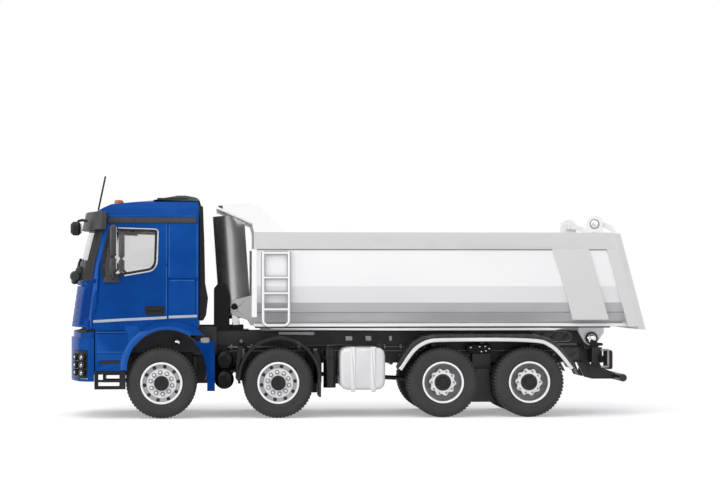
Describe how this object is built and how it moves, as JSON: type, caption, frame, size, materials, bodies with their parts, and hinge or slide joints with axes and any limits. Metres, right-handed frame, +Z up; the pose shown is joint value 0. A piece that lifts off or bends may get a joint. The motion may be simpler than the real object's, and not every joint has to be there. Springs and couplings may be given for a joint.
{
  "type": "four-axle tipper lorry scale model",
  "caption": "Scale model of a four-axle tipper lorry with a tipping load box, telescopic cylinder, swinging tailgate, tilting cab, steered front axles and rolling wheels.",
  "frame": {"origin": "on the ground under the middle of the model", "axes": "+X to the front, +Y to the left side, +Z up"},
  "size_m": [0.1807, 0.062, 0.0757],
  "materials": {
    "tyre": "satin",
    "rim": "satin",
    "cab_paint": "gloss",
    "glass": "gloss",
    "black_plastic": "matte",
    "chassis_metal": "satin",
    "interior": "matte",
    "body_silver": "satin",
    "lamp": "gloss",
    "tail_lamp": "gloss",
    "steel": "polished",
    "tank_silver": "satin"
  },
  "bodies": {
    "chassis": {"air_tanks": "black_plastic", "bumper": "black_plastic", "cab_steps": "black_plastic", "cylinder_cradle": "black_plastic", "engine_block": "chassis_metal", "frame_rails": "chassis_metal", "front_axle_beams": "chassis_metal", "front_mudguards": "black_plastic", "fuel_tank": "tank_silver", "gearbox_and_shafts": "chassis_metal", "headlamps": "lamp", "leaf_springs": "chassis_metal", "rear_axle_casings": "chassis_metal", "rear_crossmember": "chassis_metal", "rear_mudguards": "black_plastic", "side_boxes": "black_plastic", "step_panels": "cab_paint", "subframe": "chassis_metal", "tail_lamps": "tail_lamp", "underrun_guard": "chassis_metal"},
    "cab": {"cab_shell": "cab_paint", "cab_glass": "glass", "cab_floor": "interior", "cab_interior": "interior", "sun_visor": "black_plastic", "door_mirrors": "black_plastic", "roof_deflector": "black_plastic", "intake_stack": "black_plastic", "antenna": "black_plastic"},
    "tipper_body": {"load_box": "body_silver", "canopy": "body_silver", "trunnion_brackets": "body_silver", "side_ladder": "body_silver"},
    "tailgate": {"tailgate": "body_silver"},
    "cylinder_cover": {"cylinder_cover": "steel"},
    "cylinder_stage_four": {"cylinder_stage_four": "steel"},
    "cylinder_stage_three": {"cylinder_stage_three": "steel"},
    "cylinder_stage_two": {"cylinder_stage_two": "steel"},
    "cylinder_base": {"cylinder_base": "steel"},
    "knuckle_first_left": {"knuckle_first_left": "chassis_metal"},
    "wheel_first_left": {"tyre_first_left": "tyre", "rim_first_left": "rim"},
    "knuckle_first_right": {"knuckle_first_right": "chassis_metal"},
    "wheel_first_right": {"tyre_first_right": "tyre", "rim_first_right": "rim"},
    "track_rod_first": {"track_rod_first": "chassis_metal"},
    "knuckle_second_left": {"knuckle_second_left": "chassis_metal"},
    "wheel_second_left": {"tyre_second_left": "tyre", "rim_second_left": "rim"},
    "knuckle_second_right": {"knuckle_second_right": "chassis_metal"},
    "wheel_second_right": {"tyre_second_right": "tyre", "rim_second_right": "rim"},
    "track_rod_second": {"track_rod_second": "chassis_metal"},
    "wheels_third": {"tyres_third": "tyre", "rims_third": "rim"},
    "wheels_fourth": {"tyres_fourth": "tyre", "rims_fourth": "rim"}
  },
  "joints": [
    {"name": "body_tip", "type": "hinge", "parent": "chassis", "child": "tipper_body", "pos_m": [-0.07515, 0, 0.0245], "axis": [0, -1, 0], "range_deg": [0, 50]},
    {"name": "tailgate_swing", "type": "hinge", "parent": "tipper_body", "child": "tailgate", "pos_m": [-0.07434, 0, 0.0606], "axis": [0, 1, 0], "range_deg": [0, 60]},
    {"name": "cab_tilt", "type": "hinge", "parent": "chassis", "child": "cab", "pos_m": [0.0845, 0, 0.022], "axis": [0, 1, 0], "range_deg": [0, 50]},
    {"name": "cylinder_swing", "type": "hinge", "parent": "tipper_body", "child": "cylinder_cover", "pos_m": [0.03817, 0, 0.03395], "axis": [0, -1, 0], "range_deg": [-17, 0]},
    {"name": "cylinder_stage_four_slide", "type": "slide", "parent": "cylinder_cover", "child": "cylinder_stage_four", "axis": [-0.0698, 0, -0.9976], "range_m": [0, 0.0242]},
    {"name": "cylinder_stage_three_slide", "type": "slide", "parent": "cylinder_stage_four", "child": "cylinder_stage_three", "axis": [-0.0698, 0, -0.9976], "range_m": [0, 0.0242]},
    {"name": "cylinder_stage_two_slide", "type": "slide", "parent": "cylinder_stage_three", "child": "cylinder_stage_two", "axis": [-0.0698, 0, -0.9976], "range_m": [0, 0.0242]},
    {"name": "cylinder_base_slide", "type": "slide", "parent": "cylinder_stage_two", "child": "cylinder_base", "axis": [-0.0698, 0, -0.9976], "range_m": [0, 0.0242]},
    {"name": "steer_first_left", "type": "hinge", "parent": "chassis", "child": "knuckle_first_left", "pos_m": [0.06105, 0.019, 0.011], "axis": [0, 0, 1], "range_deg": [-20, 20]},
    {"name": "roll_first_left", "type": "hinge", "parent": "knuckle_first_left", "child": "wheel_first_left", "pos_m": [0.06105, 0.02105, 0.011], "axis": [0, 1, 0], "continuous": true},
    {"name": "steer_first_right", "type": "hinge", "parent": "chassis", "child": "knuckle_first_right", "pos_m": [0.06105, -0.019, 0.011], "axis": [0, 0, 1], "range_deg": [-20, 20]},
    {"name": "roll_first_right", "type": "hinge", "parent": "knuckle_first_right", "child": "wheel_first_right", "pos_m": [0.06105, -0.02105, 0.011], "axis": [0, 1, 0], "continuous": true},
    {"name": "track_rod_first_pivot", "type": "hinge", "parent": "knuckle_first_left", "child": "track_rod_first", "pos_m": [0.05505, 0.0162, 0.0088], "axis": [0, 0, 1], "range_deg": [-24, 24]},
    {"name": "steer_second_left", "type": "hinge", "parent": "chassis", "child": "knuckle_second_left", "pos_m": [0.0248, 0.019, 0.011], "axis": [0, 0, 1], "range_deg": [-20, 20]},
    {"name": "roll_second_left", "type": "hinge", "parent": "knuckle_second_left", "child": "wheel_second_left", "pos_m": [0.0248, 0.02105, 0.011], "axis": [0, 1, 0], "continuous": true},
    {"name": "steer_second_right", "type": "hinge", "parent": "chassis", "child": "knuckle_second_right", "pos_m": [0.0248, -0.019, 0.011], "axis": [0, 0, 1], "range_deg": [-20, 20]},
    {"name": "roll_second_right", "type": "hinge", "parent": "knuckle_second_right", "child": "wheel_second_right", "pos_m": [0.0248, -0.02105, 0.011], "axis": [0, 1, 0], "continuous": true},
    {"name": "track_rod_second_pivot", "type": "hinge", "parent": "knuckle_second_left", "child": "track_rod_second", "pos_m": [0.0188, 0.0162, 0.0088], "axis": [0, 0, 1], "range_deg": [-24, 24]},
    {"name": "roll_third", "type": "hinge", "parent": "chassis", "child": "wheels_third", "pos_m": [-0.02675, 0, 0.011], "axis": [0, 1, 0], "continuous": true},
    {"name": "roll_fourth", "type": "hinge", "parent": "chassis", "child": "wheels_fourth", "pos_m": [-0.05395, 0, 0.011], "axis": [0, 1, 0], "continuous": true}
  ],
  "couplings": [
    {"joint": "cylinder_swing", "follows": "body_tip", "ratio": -0.3325},
    {"joint": "cylinder_stage_four_slide", "follows": "body_tip", "m_per_rad": 0.027563},
    {"joint": "cylinder_stage_three_slide", "follows": "body_tip", "m_per_rad": 0.027563},
    {"joint": "cylinder_stage_two_slide", "follows": "body_tip", "m_per_rad": 0.027563},
    {"joint": "cylinder_base_slide", "follows": "body_tip", "m_per_rad": 0.027563},
    {"joint": "steer_first_right", "follows": "steer_first_left", "ratio": 1},
    {"joint": "track_rod_first_pivot", "follows": "steer_first_left", "ratio": -1.173},
    {"joint": "steer_second_right", "follows": "steer_second_left", "ratio": 1},
    {"joint": "track_rod_second_pivot", "follows": "steer_second_left", "ratio": -1.173}
  ]
}
